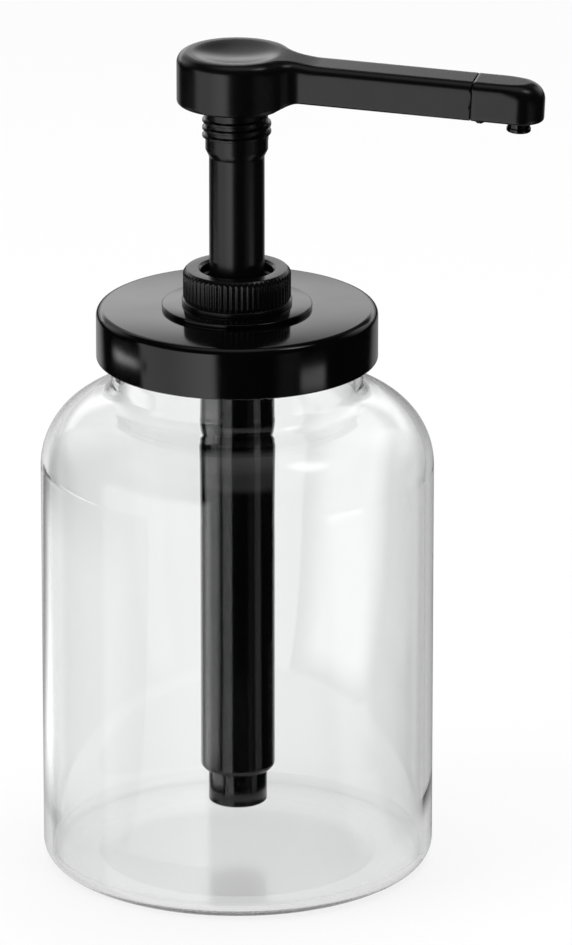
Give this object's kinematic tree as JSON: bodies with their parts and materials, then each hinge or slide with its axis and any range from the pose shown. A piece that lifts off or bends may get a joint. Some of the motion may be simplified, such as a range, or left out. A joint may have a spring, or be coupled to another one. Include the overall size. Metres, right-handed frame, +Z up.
{
  "type": "syrup dispenser",
  "caption": "Countertop syrup dispenser: clear glass jar with a black push-on lid, plunger pump, press pad and sloping spout arm.",
  "frame": {"origin": "centre of the jar's base, on the counter", "axes": "+Z up along the jar's axis, +X towards the spout's outlet"},
  "size_m": [0.1438, 0.112, 0.2401],
  "materials": {
    "clear_glass": "clear thin glass, smooth",
    "gloss_black": "glossy black",
    "satin_black": "satin black",
    "natural_plastic": "uncoloured moulded plastic",
    "clear_seal": "soft translucent grey",
    "black_seal": "soft black",
    "steel": "plain bright stainless"
  },
  "bodies": {
    "jar": {"glass_jar": "clear_glass"},
    "pump_lid": {"lid": "gloss_black", "lid_seal": "clear_seal", "mouth_ring": "clear_seal", "flange_washer": "gloss_black", "flange_gasket": "clear_seal", "collar_nut": "satin_black", "pump_cylinder": "gloss_black", "inlet_foot": "gloss_black", "spring_seat": "natural_plastic", "return_spring": "steel", "stem_bush": "satin_black", "stem_seal": "clear_seal"},
    "inlet_ball": {"inlet_ball": "steel"},
    "plunger": {"piston": "natural_plastic", "piston_seal": "black_seal"},
    "head": {"stem": "satin_black", "outlet_seat": "natural_plastic", "outlet_cage": "natural_plastic", "pump_head": "satin_black", "cap_seal": "black_seal"},
    "outlet_ball": {"outlet_ball": "steel"},
    "cap": {"nozzle_cap": "satin_black", "nozzle_tip": "gloss_black"}
  },
  "joints": [
    {"name": "lid_lift", "type": "slide", "parent": "jar", "child": "pump_lid", "axis": [0, 0, 1], "range_m": [0, 0.16]},
    {"name": "pump_stroke", "type": "slide", "parent": "pump_lid", "child": "plunger", "axis": [0, 0, 1], "range_m": [-0.04, 0], "stiffness_N_per_m": 200, "springref_m": 0.012, "deforming": ["return_spring"]},
    {"name": "head_swivel", "type": "hinge", "parent": "plunger", "child": "head", "pos_m": [0, 0, 0.14], "axis": [0, 0, 1], "continuous": true},
    {"name": "inlet_ball_lift", "type": "slide", "parent": "pump_lid", "child": "inlet_ball", "axis": [0, 0, 1], "range_m": [0, 0.0015]},
    {"name": "outlet_ball_lift", "type": "slide", "parent": "head", "child": "outlet_ball", "axis": [0, 0, 1], "range_m": [0, 0.0013]},
    {"name": "cap_pull", "type": "slide", "parent": "head", "child": "cap", "axis": [0.999, 0, -0.0436], "range_m": [0, 0.02]}
  ]
}
